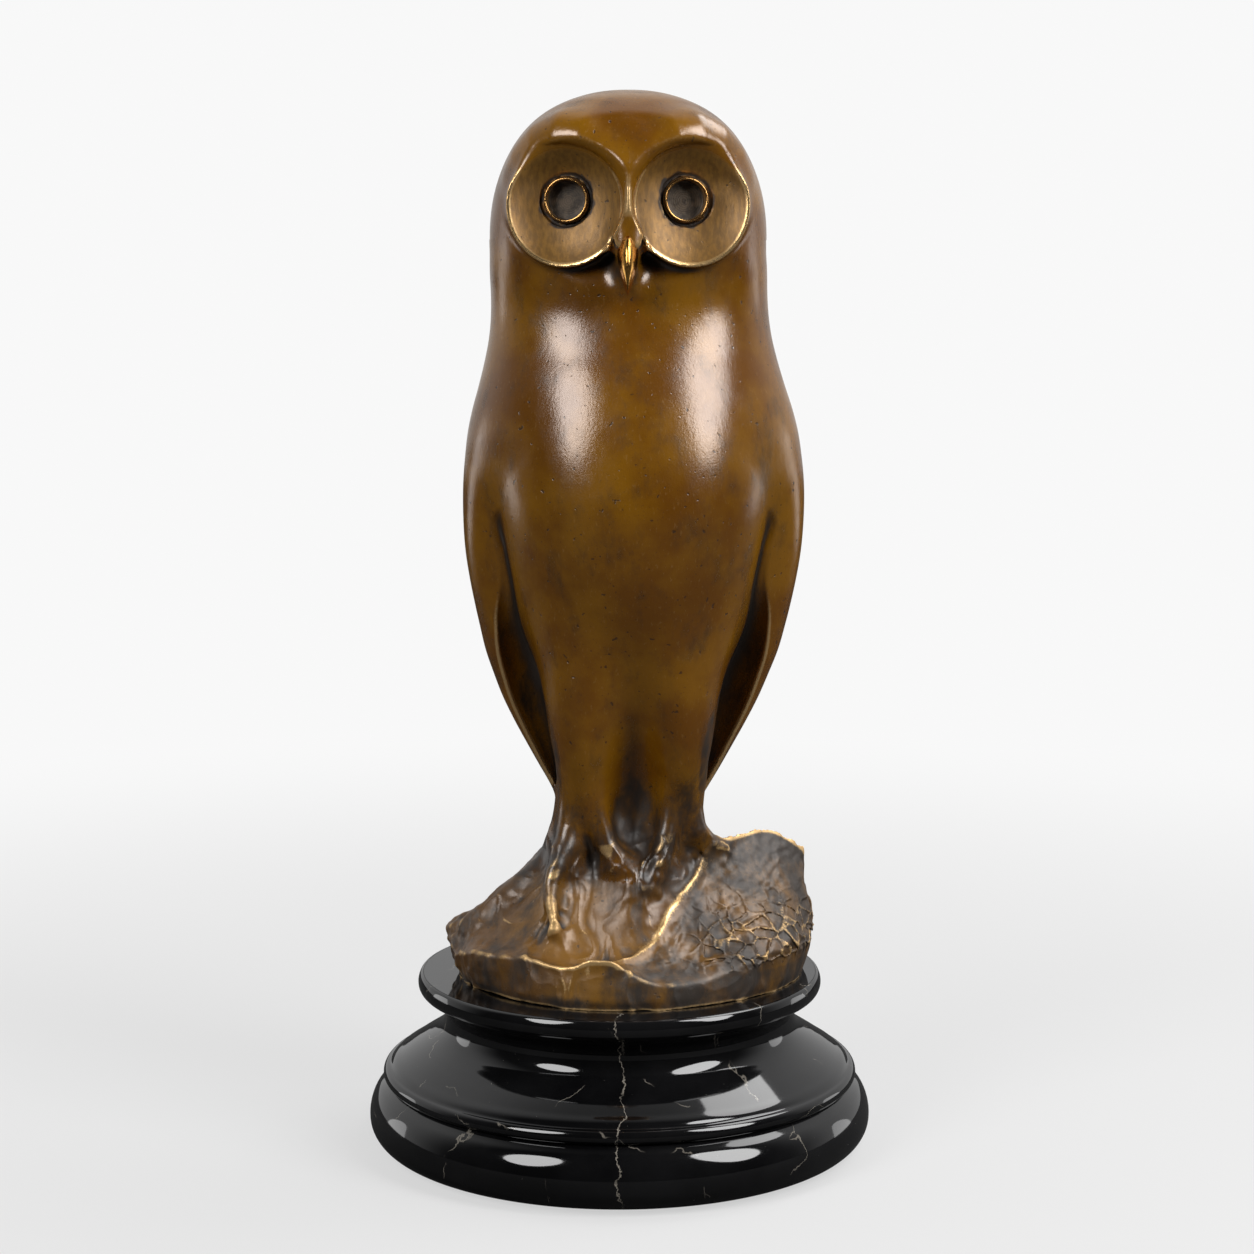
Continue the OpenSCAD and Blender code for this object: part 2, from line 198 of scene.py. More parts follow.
HEAD_Z = 250
ROUND_POWER = 2.3
CROWN_POWER = 2.2
BROW_POWER = 3.1


def loft(x, y, z, middle, half, front, back, power):
    """Distance to a body whose sections are squared ovals."""
    half_z = spline(half, z)
    u = np.abs(x - spline(middle, z)) / half_z
    v = np.where(y < 0, -y / spline(front, z), y / spline(back, z))
    k = (u ** power + v ** power) ** (1 / power) + 1e-4
    size = np.sqrt((x - spline(middle, z)) ** 2 + y * y)
    slope = (spline(half, z + 0.5) - spline(half, z - 0.5)) * 0.7
    return size * (1 - 1 / k) / np.sqrt(1 + slope * slope)


def head(x, y, z):
    """Distance to the rounded head above HEAD_Z."""
    half, front, back = (float(t[-1][1]) for t in (WING_HALF, WING_FRONT, WING_BACK))
    height = np.maximum(z - HEAD_Z, 0) / (CROWN - HEAD_Z)
    u = np.abs(x - FACE_X) / half
    v = np.where(y < 0, -y / front, y / back)
    power = CROWN_POWER + (BROW_POWER - CROWN_POWER) * ease(-4, -30, y)
    flat = (u ** ROUND_POWER + v ** ROUND_POWER) ** (power / ROUND_POWER)
    k = (flat + height ** power) ** (1 / power) + 1e-4
    size = np.sqrt((x - FACE_X) ** 2 + y * y + np.maximum(z - HEAD_Z, 0) ** 2)
    return size * (1 - 1 / k)


def inside_wing(x, z):
    """Place between a wing's rim, 0, and the belly's edge, 1."""
    rim = spline(WING_HALF, z) * WING_RIM
    return (rim - np.abs(x - spline(MIDDLE, z))) / np.maximum(rim - spline(BELLY_HALF, z), 1)


def mantle(x, y, z):
    """Head, back and folded wings in one, with the wings' hollow inner faces cut in front."""
    body = loft(x, y, z, MIDDLE, WING_HALF, WING_FRONT, WING_BACK, ROUND_POWER)
    body = np.where(z > HEAD_Z, head(x, y, z), body)
    # inner faces: deepest beside the belly, highest at the wing's rim
    across = np.abs(x - spline(MIDDLE, z))
    t = np.clip(inside_wing(x, z), 0, 1.4)
    depth = spline([(96, 4), (110, 6), (125, 7.5), (138, 7), (147, 6), (156, 5), (166, 5.4),
                    (176, 5.5), (188, 1)], z)
    rim_y = spline([(96, -2), (110, -5), (125, -7), (138, -9.5), (147, -12.5), (156, -16), (166, -18.5),
                    (176, -20), (188, -30)], z)
    face = rim_y + depth * (1 - (1 - np.minimum(t, 1)) ** 2) + 1.5 * np.maximum(t - 1, 0)
    body = common(body, (face - y) * 0.85, 0.6)
    # lower edge: the tips point down at the sides and leave the tail free behind
    low = WING_TIP + 0.5 * np.maximum(14 - across, 0) * ease(4, 12, y) + 0.25 * np.maximum(across - 16, 0)
    body = common(body, (low - z) * 0.8, 2.0)
    # cleft between the folded wings
    cleft = hump(x - spline(MIDDLE, z), 0, 1.8 + 0.02 * np.maximum(200 - z, -40)) * ease(10, 20, y)
    body = body + 2.6 * cleft * ease(212, 175, z)
    return body


def tail(x, y, z):
    """Short tail that reaches down to the rock behind the legs."""
    centre_y = spline([(60, 22), (76, 20.5), (100, 17), (130, 12)], z)
    half = spline([(60, 10), (76, 10.5), (100, 12), (130, 9)], z)
    u = np.abs(x - TAIL_X) / half
    v = np.abs(y - centre_y) / 5.5
    k = (u ** 2.6 + v ** 2.6) ** (1 / 2.6) + 1e-4
    size = np.sqrt((x - TAIL_X) ** 2 + (y - centre_y) ** 2)
    blade = size * (1 - 1 / k)
    for groove in (-4.5, 0, 4.5):
        blade = blade + 0.5 * hump(x, TAIL_X + groove, 0.8) * ease(0, 2, y - centre_y)
    return common(blade, z - 130, 4)


def belly(x, y, z):
    """Distance to the belly, the thighs and the legs."""
    body = loft(x, y, z, BELLY_MIDDLE, BELLY_HALF, BELLY_FRONT, BELLY_BACK, 2.15)
    front = ease(0, -10, y)
    # thighs, and the valley between the legs
    body = join(body, egg(x, y, z, (-9.5, -17, 128), (9.5, 12, 30)), 9)
    body = join(body, egg(x, y, z, (16.5, -17, 128), (9.5, 12, 30)), 9)
    valley = 3.4 * hump(x, 4.4, 6.6) * ease(158, 106, z)
    body = body + valley * front
    # the belly ends inside the neck, under the face
    return common(body, z - 240, 6)


# Ridges from the legs over the feet to the toes: points, radii and how softly each one joins.
TOES = [
    ([(-11.5, -16, 104), (-13.4, -19, 92), (-15.8, -22.6, 85), (-18.3, -27, 77.6), (-18.4, -30, 73),
      (-17.4, -32.5, 67)], [2.6, 2.2, 1.9, 1.6, 1.3, 0.5], 7),
    ([(-8, -18, 104), (-5.8, -20.2, 95), (-3.6, -21.4, 88), (-1.0, -22.2, 83), (2.4, -23.4, 79.8),
      (5.6, -25.8, 76)], [2.6, 2.3, 2.1, 1.9, 1.5, 0.7], 6),
    ([(15, -18, 102), (13.4, -20.4, 93), (12.2, -22.4, 88), (10.4, -24.4, 83), (8.4, -26.2, 77.4)],
     [2.6, 2.2, 1.9, 1.5, 0.7], 5),
    ([(18.5, -14, 104), (19.4, -15.6, 96), (21.4, -16.2, 91), (25.0, -15.2, 87), (29.6, -13, 85)],
     [2.6, 2.2, 1.8, 1.4, 0.6], 7),
    ([(-9, -6, 104), (-12, -7, 90), (-17.5, -7.5, 81), (-25, -9, 75.5), (-34, -11, 68.5), (-42, -12, 63)],
     [5, 3.6, 2.8, 2.2, 1.8, 1.0], 8),
]
# Flared solid metal between the legs and the rock.
FLARE = [((-8, -7, 104), (-11.5, -8, 74), 6.5, 9.5), ((13, -7, 104), (14, -7, 80), 7, 11),
         ((-10, -12, 98), (-15, -19.5, 71), 4.5, 6.5), ((-4, -11, 94), (0.5, -16, 76), 4, 6),
         ((13, -11, 98), (11, -18, 78), 4.5, 6)]


def owl(x, y, z):
    """Distance to the owl without its face and feet."""
    body = join(mantle(x, y, z), belly(x, y, z), 0.7 + 7 * ease(166, 200, z))
    body = join(body, tail(x, y, z), 3)
    return body


# ---- the rock

def sheet_through(points, x, y, stiff=14.0):
    """Smooth height over the plan that passes through (x, y, height) points."""
    p = np.array(points, float)
    gap = np.sqrt(((p[:, None, :2] - p[None, :, :2]) ** 2).sum(-1) + stiff * stiff)
    weights = np.linalg.solve(gap + 1e-3 * np.eye(len(p)), p[:, 2] - p[:, 2].mean())
    total = np.zeros(np.broadcast(x, y).shape, np.float32) + p[:, 2].mean()
    for (px, py, _), w in zip(p, weights):
        total += (w * np.sqrt((x - px) ** 2 + (y - py) ** 2 + stiff * stiff)).astype(np.float32)
    return total


# The crest that runs round the front of the ledge and up to the peak.
CREST = [(-44, -14, 57.8), (-34, -30, 59.6), (-27, -36, 60.3), (-18, -41, 59.2), (-8, -42.5, 58.6),
         (0, -40, 59.6), (6, -36, 61.8), (11, -31.5, 65.6), (15, -26, 71.4), (19, -22, 75.6),
         (22, -18, 79.2), (26, -14, 82.5), (31, -10, 86), (36, -6.5, 87.8), (42, -3, 87),
         (49, 0, 83), (54, 3, 80.5)]
# Height of the side band's upper edge over the turn round the rock, from the left front.
BAND = [(-45, 57.5), (-34, 57), (-20, 56.6), (-6, 55.6), (4, 54.6), (17, 54.0), (24, 54.2), (29, 54.8),
        (34.5, 56), (40, 57.4), (45, 58.8), (48.5, 60), (54, 61.6)]
# The ledge behind the crest, under the feet and round the back.
LEDGE = [(-48.5, -4, 60.2), (-40, -6, 65.6), (-34, -4, 69), (-28, -8, 73), (-22, -6, 77.6),
         (-20, -22, 72.5), (-30, -22, 65.5), (-38, -20, 61.5), (-11, -27, 70),
         (-3, -28, 71), (4, -28, 74), (10, -24, 76), (16, -18, 78.5), (22, -12, 81.5), (28, -7, 83.5),
         (0, 0, 80), (-15, -4, 76), (14, 4, 81), (0, 18, 76), (-18, 12, 71), (18, 18, 77),
         (-34, 6, 63), (-28, 24, 60), (-8, 34, 62), (12, 34, 64), (30, 24, 71), (40, 12, 80),
         (48, 10, 80), (-18, 0, 79.5)]
# Ahead of the crest the ledge's sheet keeps rising, clear of the rough face.
AHEAD = [(-30, -44, 66), (-15, -50, 67), (0, -48, 72), (10, -44, 78), (20, -38, 86), (30, -29, 94),
         (40, -20, 98), (50, -12, 94), (58, -4, 90)]
# The rough face between the crest and the ledge's foot on the right.
FACE = [(-20, -46, 76), (-6, -46, 62), (4, -43, 58), (10, -41, 57), (17, -43, 54.6),
        (24, -41, 54.9), (29, -39, 55.4), (34.5, -36, 56.6), (40, -32, 58), (45, -26, 59.4),
        (48.5, -21, 60.6), (53.6, -5, 62), (20, -29, 65.5), (28, -25, 67.5), (36, -19, 71),
        (43, -12, 74.5), (30, -33, 60), (38, -26, 63.5), (50, -5, 73), (40, 0, 92), (20, 0, 96),
        (0, -20, 90), (52, 10, 84)]


def sheets(x, y):
    """Heights of the ledge and of the rough face in front of it."""
    top = sheet_through(CREST + LEDGE + AHEAD, x, y)
    face = sheet_through(CREST[4:] + FACE, x, y)
    return top, np.maximum(face, spline(BAND, x) + 0 * y)


def crest_gap(x, y):
    """How far the ledge's height stands above the rough face's: 0 on the crest."""
    top, face = sheets(x, y)
    return np.where(y < 12, top - face, -9)


def rough_face(x, y):
    """1 on the rough face in front of the crest, 0 on the ledge."""
    return ease(0.3, 3.0, crest_gap(x, y))


def round_the_rock(x, y):
    """Distance out from the rock's middle, and the angle round it."""
    return np.sqrt((x - ROCK_X) ** 2 + y * y), np.arctan2(y, x - ROCK_X)


def rock(x, y, z):
    top, face = sheets(x, y)
    ledge = np.where(y < 12, np.minimum(top, face), top)
    ledge = ledge + 0.5 * hump(top - face, 0, 1.2) * (y < 12)
    out, turn = round_the_rock(x, y)
    wall = ROCK_R + 1.0 * np.cos(2 * turn) + 0.7 * np.sin(3 * turn + 1.0)
    lift = z - MARBLE_TOP
    wall = wall + 2.6 * hump(lift, 11, 7) * ease(0.6, 0.95, -np.cos(turn))
    wall = wall + 2.2 * hump(lift, 12, 9) * ease(0.6, 0.98, np.cos(turn))
    wall = wall - 0.12 * lift * ease(0.3, 0.9, -np.sin(turn)) - 0.8 * hump(lift, 0, 2)
    body = common(out - wall, (z - ledge) * 0.75, 0.9)
    return common(body, MARBLE_TOP - z, 0.3)


def sculpture(x, y, z):
    """Distance to the whole bronze, owl and rock together."""
    body = owl(x, y, z)
    for top, foot, top_r, foot_r in FLARE:
        body = join(body, rod(x, y, z, [top, foot], [top_r, foot_r]), 4)
    body = join(body, rock(x, y, z), 5.0)
    for points, radii, blend in TOES:
        body = join(body, rod(x, y, z, points, radii), blend)
    return common(body, MARBLE_TOP - z, 0.1)


# ---- the face

DISC_X = 16.4
DISC_Z = 258.0
DISC_HALF = (14.9, 15.6)
DISC_MEAN = 15.2
FACE_Y = -34.2
FACE_TURN = 0.19
BOWL_DEPTH = 4.6
EYE_MIDDLE = 1.9
CUP_R = 6.1
# Brow from the nose over each eye, as distances from the face's centre line: across, y, z.
BROW = [(1.2, -31.6, 261), (3.0, -31.0, 267), (6.5, -30.0, 272.4), (11.5, -28.8, 275.6), (17, -26.8, 276.6),
        (22.5, -23.8, 274.4), (26.5, -20.6, 270.4), (28.5, -18.6, 266)]
BROW_R = [1.8, 3.0, 3.8, 3.9, 3.5, 2.6, 1.5, 0.4]
NOSE = [(-26.5, 275), (-29.6, 270), (-31.8, 264), (-33.2, 256), (-32.8, 249)]
NOSE_R = [4.2, 4.0, 3.0, 2.1, 1.9]
# Grooves down both sides of the beak.
BESIDE_BEAK = [(3.4, -33.6, 248.5), (3.2, -34.2, 243), (1.6, -34.2, 236)]


def disc_rise(z):
    """Height above a disc's middle as a share of its half height, which is less above than below."""
    return (z - DISC_Z) / (DISC_HALF[1] - 0.9 * ease(DISC_Z, DISC_Z + 8, z))


def disc_place(x, z):
    """Place across and up in the nearer facial disc, as shares of its half sizes."""
    return (np.abs(x - FACE_X) - DISC_X) / DISC_HALF[0], disc_rise(z)


def face_height(across):
    return FACE_Y + FACE_TURN * across


def face(x, y, z, body):
    """Adds the brow and nose ridge to the head, pulls the neck in below the discs and carves the bowls."""
    across = np.abs(x - FACE_X)
    plane = face_height(across)
    dx, dz = disc_place(x, z)
    share = np.sqrt(dx * dx + dz * dz) + 1e-4
    edge = (share - 1) * DISC_MEAN
    front = ease(-8, -18, y)
    # neck pulled in round the lower rims, most beside the beak
    pulled = (1.5 + 1.2 * hump(across, 0, 12)) * np.exp(-np.maximum(edge, 0) / 7) * ease(262, 246, z)
    body = body + pulled * front * ease(-0.5, 0.8, edge) * ease(224, 233, z)
    plate = common(common(edge - 0.5, plane - y, 0.5), y - plane - 9, 0.5)
    body = join(body, plate, 1.8 + 2.4 * ease(0.0, 0.8, dz))
    for side in (-1, 1):
        chain = [(FACE_X + side * a, b, c) for a, b, c in BROW]
        body = join(body, rod(x, y, z, chain, BROW_R), 8)
    nose = [(FACE_X, b, c) for b, c in NOSE]
    body = join(body, rod(x, y, z, nose, NOSE_R), 7)
    soft = ease(-0.15, 0.75, 0.85 * dz - 0.3 * dx)
    floor = plane + BOWL_DEPTH * (1 - share ** 2.4) + 1.6 * hump(dz, 0.55, 0.4) * hump(dx, 0, 0.8)
    body = cut(body, np.maximum(edge, y - floor), 0.45 + 4.2 * soft)
    # the chin that carries the beak
    body = join(body, egg(x, y, z, (FACE_X, -28.6, 245.5), (2.4, 6.0, 7.5)), 5)
    for side in (-1, 1):
        beside = [(FACE_X + side * a, b, c) for a, b, c in BESIDE_BEAK]
        body = cut(body, rod(x, y, z, beside, [0.8, 1.2, 0.8]), 1.6)
    return body


def eye_frame(side):
    """Middle of an eye's bowl floor, and the direction that the eye faces."""
    centre = EYE_MIDDLE + side * EYE_X
    across = abs(centre - FACE_X)
    share = math.hypot((across - DISC_X) / DISC_HALF[0], (EYE_Z - DISC_Z) / DISC_HALF[1])
    y = face_height(across) + BOWL_DEPTH * (1 - share ** 2.4)
    turn = math.radians(11)
    return (centre, y, EYE_Z), (side * math.sin(turn), -math.cos(turn), 0)


def eye_sockets(x, y, z, body):
    """Cuts the cups' seats and the uneven grooves round them."""
    for side in (-1, 1):
        (cx, cy, cz), (nx, ny, _) = eye_frame(side)
        along = (x - cx) * nx + (y - cy) * ny
        sideways = (x - cx) * -ny + (y - cy) * nx
        out = np.sqrt(sideways ** 2 + (z - cz) ** 2)
        groove = np.sqrt((out - CUP_R - 0.35) ** 2 + (along + 0.1) ** 2) - 0.62
        body = cut(body, groove, 0.5)
        body = cut(body, np.maximum(out - CUP_R, -along - 4.2), 0.1)
    return body


def sculpture_full(x, y, z):
    """The sculpture with its face and its chased roughness."""
    body = sculpture(x, y, z)
    if np.max(z) > FACE_FROM:
        body = np.where(z > FACE_FROM, eye_sockets(x, y, z, face(x, y, z, body)), body)
    if np.min(z) < FEET_TOP:
        body = body - relief(x, y, z)
    return body


def scale_edges(x, y, z):
    """1 on the edges of the rough face's scales, which are boldest low on the right."""
    drift = 4.5 * noise(x, y, z, 6.5, 6)
    first, second = cells(x + drift, y, z * 1.35 + 0.4 * drift, 5.6, 3)
    return (1 - ease(0.02, 0.16, second - first)) * (ease(14, 30, x) * ease(76, 64, z) + 0.1)


def tool_marks(x, y, z):
    """Ridges left by the modelling tool, running down and outwards from the feet: 1 on a ridge."""
    out, turn = round_the_rock(x, y)
    turn = turn * 22
    drift = noise(x, y, z, 9, 21)
    broad = noise(turn / 4.6 + 1.3 * drift, (out - z) / 13, 0 * z, 1, 22)
    narrow = noise(turn / 2.1 + 1.6 * drift, (out - z) / 6, 0 * z, 1, 23)
    return 1 - 1.3 * np.abs(broad) - 0.7 * np.abs(narrow)


def relief(x, y, z):
    """Chased and cast roughness of the rock and the feet, in millimetres outwards."""
    low = ease(97, 84, z)
    front = rough_face(x, y) * ease(1, 8, x) * ease(55.5, 58.5, z)
    left = ease(-30, -44, x) * low
    fine = noise(x, y, z, 2.2, 5)
    medium = noise(x, y, z, 6.5, 6)
    flow = np.sin(1.5 * (z - 0.55 * x) + 4 * medium)
    rough = front * (0.55 * scale_edges(x, y, z) + 0.30 * fine + 0.6 * medium + 0.1 * flow - 0.2)
    rim = left * (0.45 * fine + 0.6 * medium)
    crest = hump(crest_gap(x, y), 0, 1.6) * ease(62, 66, z) * 0.25 * fine
    marks = (1 - front) * 0.42 * tool_marks(x, y, z)
    return (rough + rim + crest + marks + 0.14 * medium + 0.1 * fine) * low


# ---- from distances to meshes

LOW = np.array([-57.0, -54.0, MARBLE_TOP - 2])
HIGH = np.array([63.0, 52.0, CROWN + 3])
BLOCK = 8
FAR = 9.0


def sampled():
    """The distance on a regular grid, worked out only in the blocks near the surface."""
    step = VOXEL * BLOCK
    count = np.ceil((HIGH - LOW) / step).astype(int)
    starts = [LOW[a] + step * np.arange(count[a]) for a in range(3)]
    middles = [(v + step / 2).astype(np.float32) for v in starts]
    rough = sculpture_full(middles[0][:, None, None], middles[1][None, :, None], middles[2][None, None, :])
    field = np.where(rough < 0, -FAR, FAR).astype(np.float32)
    field = field.repeat(BLOCK, 0).repeat(BLOCK, 1).repeat(BLOCK, 2)
    near = np.argwhere(np.abs(rough) < 0.9 * step + 4)
    inside = (VOXEL * np.arange(BLOCK)).astype(np.float32)
    for part in np.array_split(near, max(len(near) // 1500, 1)):
        x, y, z = (starts[a][part[:, a]].astype(np.float32)[:, None] + inside for a in range(3))
        block = sculpture_full(x[:, :, None, None], y[:, None, :, None], z[:, None, None, :])
        for (i, j, k), values in zip(part * BLOCK, block):
            field[i:i + BLOCK, j:j + BLOCK, k:k + BLOCK] = values
    return field


def surface(field):
    """Vertices and quads of the zero level, outward facing."""
    grid = openvdb.FloatGrid(FAR)
    grid.copyFromArray(np.clip(field, -FAR, FAR).astype(np.float32))
    points, quads = grid.convertToQuads(isovalue=0.0)
    return points.astype(np.float64) * VOXEL + LOW, quads.astype(np.int64)


def columns(points):
    return [points[:, a].astype(np.float32) for a in range(3)]


def slope(points, step=0.12):
    """Gradient of the distance at each point."""
    x, y, z = columns(points)
    parts = []
    for a in range(3):
        ahead = [x, y, z]
        behind = [x, y, z]
        ahead[a] = ahead[a] + step
        behind[a] = behind[a] - step
        parts.append((sculpture_full(*ahead) - sculpture_full(*behind)) / (2 * step))
    return np.stack(parts, 1).astype(np.float64)


def settle(points):
    """Moves points onto the surface and returns them with their normals."""
    for _ in range(2):
        way = slope(points)
        size = np.maximum((way ** 2).sum(1, keepdims=True), 0.25)
        gap = sculpture_full(*columns(points))[:, None]
        points = points - np.clip(gap, -0.4, 0.4) * way / size
    way = slope(points)
    return points, way / np.maximum(np.linalg.norm(way, axis=1, keepdims=True), 1e-6)


def blurred(field, reach):
    """Share of metal within reach of each grid point."""
    share = np.clip(0.5 - field / VOXEL, 0, 1).astype(np.float32)
    r = max(int(round(reach / VOXEL / 2)), 1)
    for _ in range(2):
        for axis in range(3):
            pad = [(0, 0)] * 3
            pad[axis] = (r + 1, r)
            total = np.cumsum(np.pad(share, pad, mode="edge"), axis=axis, dtype=np.float32)
            n = total.shape[axis]
            share = np.take(total, range(2 * r + 1, n), axis) - np.take(total, range(0, n - 2 * r - 1), axis)
            share /= 2 * r + 1
    return share


def looked_up(grid, points):
    """Trilinear values of a grid at points."""
    place = (points - LOW) / VOXEL
    i = np.clip(np.floor(place).astype(int), 0, np.array(grid.shape) - 2)
    t = place - i
    value = 0
    for a in (0, 1):
        for b in (0, 1):
            for c in (0, 1):
                share = abs(1 - a - t[:, 0]) * abs(1 - b - t[:, 1]) * abs(1 - c - t[:, 2])
                value = value + share * grid[i[:, 0] + a, i[:, 1] + b, i[:, 2] + c]
    return value


def wear_and_highlight(points):
    """Where the bronze is made bright, from 0 to 1: bare metal on the disc rims and toes, and painted
    highlights along the disc rims, the toes, the crest, the scale edges and the tool ridges.
    """
    x, y, z = columns(points)
    dx, dz = disc_place(x, z)
    edge = (np.sqrt(dx * dx + dz * dz) - 1) * DISC_MEAN
    # Bare metal on the disc rims, with a painted highlight along them, strongest low on each disc.
    bright = hump(edge, -0.05, 0.42) * (y < -12) * (0.25 + 0.75 * ease(0.8, 0.1, dz)) * (z > 238)
    patches = ease(-0.25, 0.45, noise(x, y, z, 4.5, 31))
    # Bare metal and painted highlights along the toes.
    for points_along, radii, _ in TOES[:4]:
        toe = rod(x, y, z, points_along[1:], radii[1:])
        bright = np.maximum(bright, 0.6 * hump(toe, 0.1, 0.45) * ease(97, 84, z) * patches)
    # Painted highlight along the crest.
    line = rod(x, y, z, CREST, [0] * len(CREST))
    beads = 0.85 + 0.15 * noise(x, y, z, 1.7, 32)
    gap = crest_gap(x, y)
    crest = np.maximum(hump(gap, 0, 0.5) * beads, 0.42 * hump(gap, 0, 1.8))
    crest = crest * hump(line, 0, 3.0) * ease(-44, -38, x)
    low = ease(92, 86, z)
    rough = rough_face(x, y)
    # Painted highlights on the scale edges.
    scaly = 0.42 * scale_edges(x, y, z) * rough * ease(60, 63, z)
    # Painted highlights on the tool ridges.
    ridges = 0.5 * ease(0.55, 0.95, tool_marks(x, y, z)) * (1 - rough) * (0.35 + 0.65 * patches)
    return np.max([bright, crest, scaly * low, ridges * low], axis=0)


def patina_and_shade(points):
    """Where the colour is darkened, from 0 to 1: dark patina on the rough face, in the tool grooves and
    round the eye cups; darker towards the bottom of the rock and low on its left flank; painted shade on the
    lower legs and feet, between the legs, under the wings and under the beak.
    """
    x, y, z = columns(points)
    rough = 0.6 * rough_face(x, y) * ease(92, 88, z)
    band = np.maximum(0.7 * ease(53.5, 49.5, z), 0.7 * ease(57.5, 54.5, z) * ease(0, 14, x))
    # Painted shade between the legs.
    valley = 0.65 * hump(x, 4.4, 6.5) * ease(124, 90, z) * ease(70, 77, z) * (y < 0)
    # Painted shade on the lower legs and feet.
    feet = 0.68 * ease(116, 88, z) * ease(68, 80, z)
    flank = 0.5 * ease(-18, -26, x) * ease(86, 80, z)
    grooves = 0.6 * ease(0.25, -0.5, tool_marks(x, y, z)) * ease(98, 88, z) * (1 - rough_face(x, y))
    # Painted shade at the neck under the beak.
    neck = 0.75 * hump(x, FACE_X, 9) * hump(z, 241, 6) * (y < -20)
    share = inside_wing(x, z)
    # Painted shade under the wings' rims, beside the belly.
    under_wing = 0.55 * ease(0.06, 0.3, share) * ease(1.1, 0.95, share)
    under_wing = under_wing * ease(160, 146, z) * (z > FEET_TOP) * (y < 0)
    across = np.abs(x - EYE_MIDDLE) - EYE_X
    out = np.sqrt(across ** 2 + (z - EYE_Z) ** 2)
    eyes = hump(out + 0.9 * noise(x, y, z, 1.9, 9), CUP_R + 0.5, 1.0) * (y < -20)
    return np.max([rough, band, valley, feet, flank, grooves, neck, under_wing, eyes], axis=0)


def brushed(points):
    """1 inside the facial discs, where the metal was left brushed."""
    x, y, z = columns(points)
    dx, dz = disc_place(x, z)
    return ease(1.0, 0.93, np.sqrt(dx * dx + dz * dz)) * (y < -10)


def capped(quads, points, normals, extra):
    """Keeps the used points and closes each open loop with a fan round its middle."""
    used, where = np.unique(quads, return_inverse=True)
    quads = where.reshape(quads.shape)
    points, normals, extra = points[used], normals[used], extra[used]
    edges = np.concatenate([quads[:, [k, (k + 1) % 4]] for k in range(4)])
    key = np.minimum(edges[:, 0], edges[:, 1]) * len(points) + np.maximum(edges[:, 0], edges[:, 1])
    _, first, times = np.unique(key, return_index=True, return_counts=True)
    follow = {int(b): int(a) for a, b in edges[first[times == 1]]}
    faces = [tuple(q) for q in quads.tolist()]
    while follow:
        start, loop = next(iter(follow)), []
        here = start
        while here in follow:
            loop.append(here)
            here = follow.pop(here)
        if len(loop) < 3:
            continue
        middle = len(points)
        points = np.vstack([points, points[loop].mean(0)])
        normals = np.vstack([normals, [0, 0, 1]])
        extra = np.vstack([extra, extra[loop].mean(0)])
        faces += [(loop[k], loop[(k + 1) % len(loop)], middle) for k in range(len(loop))]
    return faces, points, normals, extra


def make_object(name, points, faces, material, normals=None, marks=None):
    """A smooth mesh object from millimetre points, with optional normals and named point values."""
    mesh = bpy.data.meshes.new(name)
    mesh.from_pydata((np.asarray(points) * MM).tolist(), [], faces)
    mesh.validate()
    mesh.shade_smooth()
    for key, values in (marks or {}).items():
        mesh.attributes.new(key, "FLOAT", "POINT").data.foreach_set("value", values.astype(np.float32))
    if normals is not None:
        mesh.normals_split_custom_set_from_vertices(normals.tolist())
    mesh.materials.append(material)
    piece = bpy.data.objects.new(name, mesh)
    bpy.context.scene.collection.objects.link(piece)
    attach(piece, "root")
    return piece


def joint_height(points):
    """Height of the weld between owl and rock over the plan; the rock's peak stays with the rock."""
    peak = ABOVE_ALL * ease(27, 30, points[:, 0]) * (points[:, 2] < PEAK_TOP)
    return JOINT + 9 * ease(17, 26, points[:, 0]) + peak


def bronze_pieces(owl_material, rock_material):
    field = sampled()
    points, quads = surface(field)
    edge = looked_up(blurred(field, 1.7), points)
    hollow = looked_up(blurred(field, 6.0), points)
    points, normals = settle(points)
    marks = np.stack([edge, hollow, wear_and_highlight(points), brushed(points), patina_and_shade(points)], 1)
    middle = points[quads].mean(1)
    upper = middle[:, 2] > joint_height(middle)
    pieces = []
    for name, mine, material, node, slot in (
            ("owl_bronze", upper, owl_material, "owl_casting", "bronze"),
            ("rock_bronze", ~upper, rock_material, "rock_casting", "rock_bronze")):
        faces, own, own_normals, own_marks = capped(quads[mine], points, normals, marks)
        named = {key: own_marks[:, k] for k, key in enumerate(("edge", "hollow", "wear_and_highlight", "brushed", "patina_and_shade"))}
        piece = make_object(name, own, faces, material, own_normals, named)
        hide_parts(node)
        pieces.append(piece)
        print(name, len(own), "points", len(faces), "faces")
    return pieces


# ---- materials

def set_range(node, low, high, out_low, out_high):
    """Maps low to high onto out_low to out_high in a Map Range node."""
    limits = {"From Min": low, "From Max": high, "To Min": out_low, "To Max": out_high}
    for key, number in limits.items():
        node.inputs[key].default_value = number


